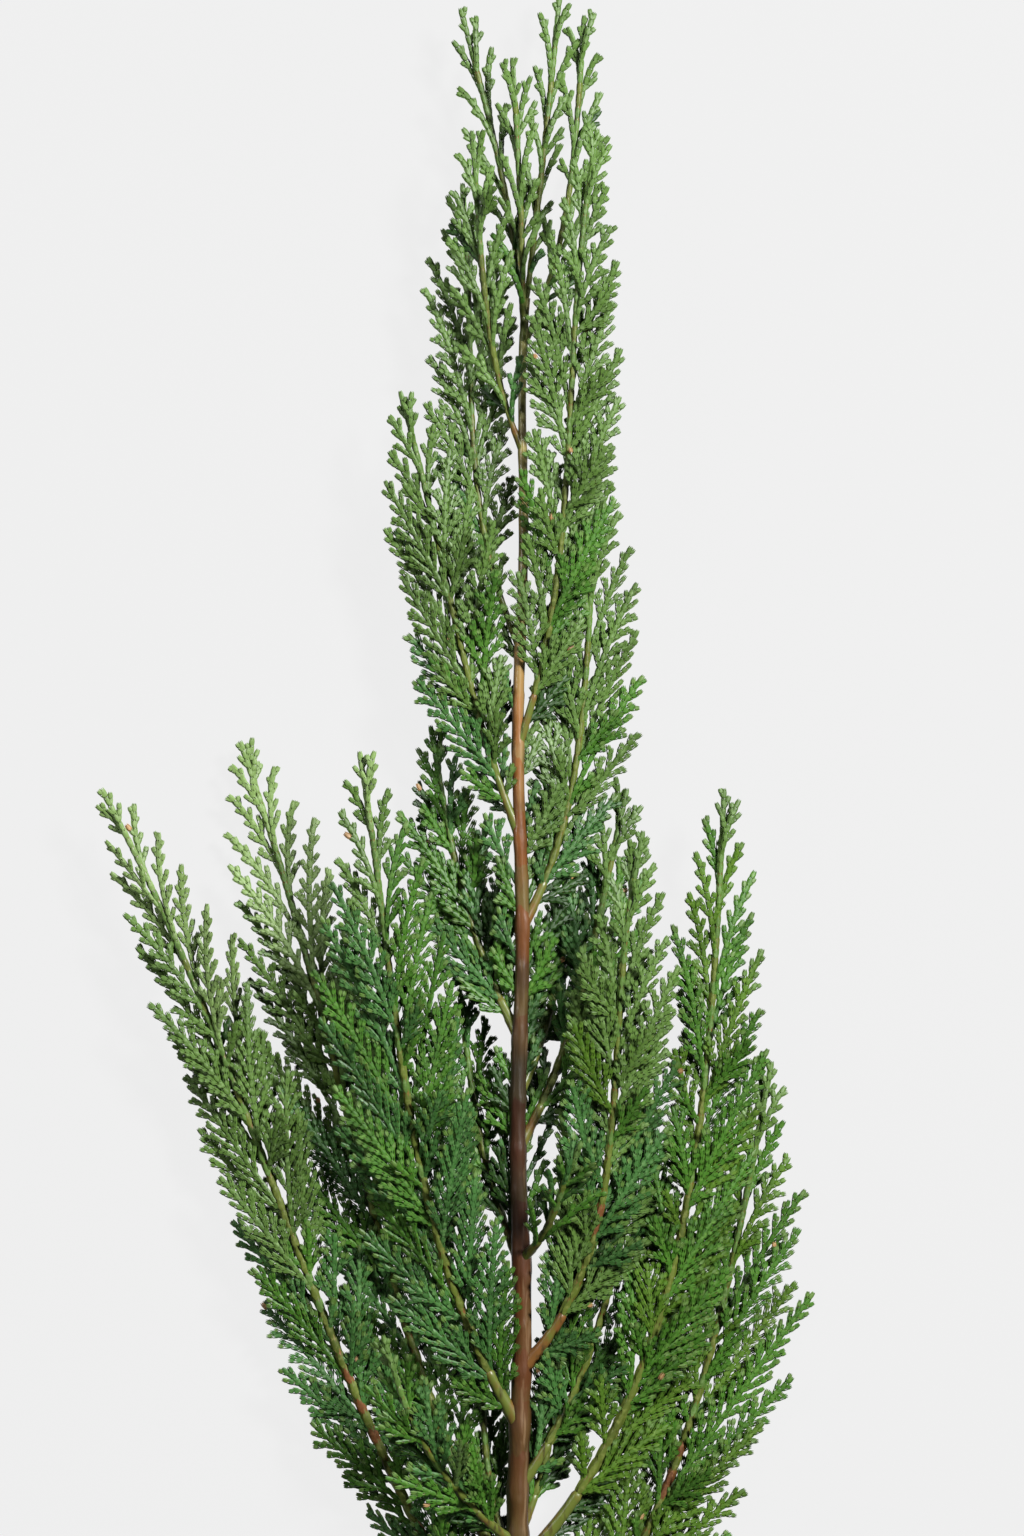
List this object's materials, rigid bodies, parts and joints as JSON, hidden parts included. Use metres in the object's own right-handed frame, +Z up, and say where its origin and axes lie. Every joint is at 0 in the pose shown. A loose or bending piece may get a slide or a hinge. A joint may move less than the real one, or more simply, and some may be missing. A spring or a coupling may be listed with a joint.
{
  "type": "cut false cypress shoot",
  "caption": "Cut leading shoot of a false cypress lying flat: a tapering woody stem with fern-like fronds of scale leaves along both sides.",
  "frame": {"origin": "on the level surface that the shoot lies on, under the middle of its bounding box", "axes": "+Y along the stem from its cut to the leading tip, +Z up from the surface, +X to the right seen from above with the tip at the top"},
  "size_m": [0.1378, 0.3462, 0.0289],
  "materials": {
    "stem_bark": "smooth reddish brown young bark",
    "green_bark": "yellow-green twig turning orange brown at its foot",
    "scale_leaves": "blue-green scale leaves with yellow-green tips"
  },
  "bodies": {
    "root": {"leader_foliage": "scale_leaves", "left_1_bough": "green_bark", "left_1_foliage": "scale_leaves", "left_2_bough": "green_bark", "left_2_foliage": "scale_leaves", "left_3_bough": "green_bark", "left_3_foliage": "scale_leaves", "left_4_bough": "green_bark", "left_4_foliage": "scale_leaves", "left_5_bough": "green_bark", "left_5_foliage": "scale_leaves", "left_6_bough": "green_bark", "left_6_foliage": "scale_leaves", "left_7_bough": "green_bark", "left_7_foliage": "scale_leaves", "left_8_bough": "green_bark", "left_8_foliage": "scale_leaves", "left_9_bough": "green_bark", "left_9_foliage": "scale_leaves", "left_back_bough": "green_bark", "left_back_foliage": "scale_leaves", "left_front_bough": "green_bark", "left_front_foliage": "scale_leaves", "left_low_bough": "green_bark", "left_low_foliage": "scale_leaves", "main_stem": "stem_bark", "right_1_bough": "green_bark", "right_1_foliage": "scale_leaves", "right_2_bough": "green_bark", "right_2_foliage": "scale_leaves", "right_3_bough": "green_bark", "right_3_foliage": "scale_leaves", "right_4_bough": "green_bark", "right_4_foliage": "scale_leaves", "right_5_bough": "green_bark", "right_5_foliage": "scale_leaves", "right_6_bough": "green_bark", "right_6_foliage": "scale_leaves", "right_7_bough": "green_bark", "right_7_foliage": "scale_leaves", "right_8_bough": "green_bark", "right_8_foliage": "scale_leaves", "right_back_bough": "green_bark", "right_back_foliage": "scale_leaves", "right_front_bough": "green_bark", "right_front_foliage": "scale_leaves", "right_low_bough": "green_bark", "right_low_foliage": "scale_leaves"}
  },
  "joints": []
}
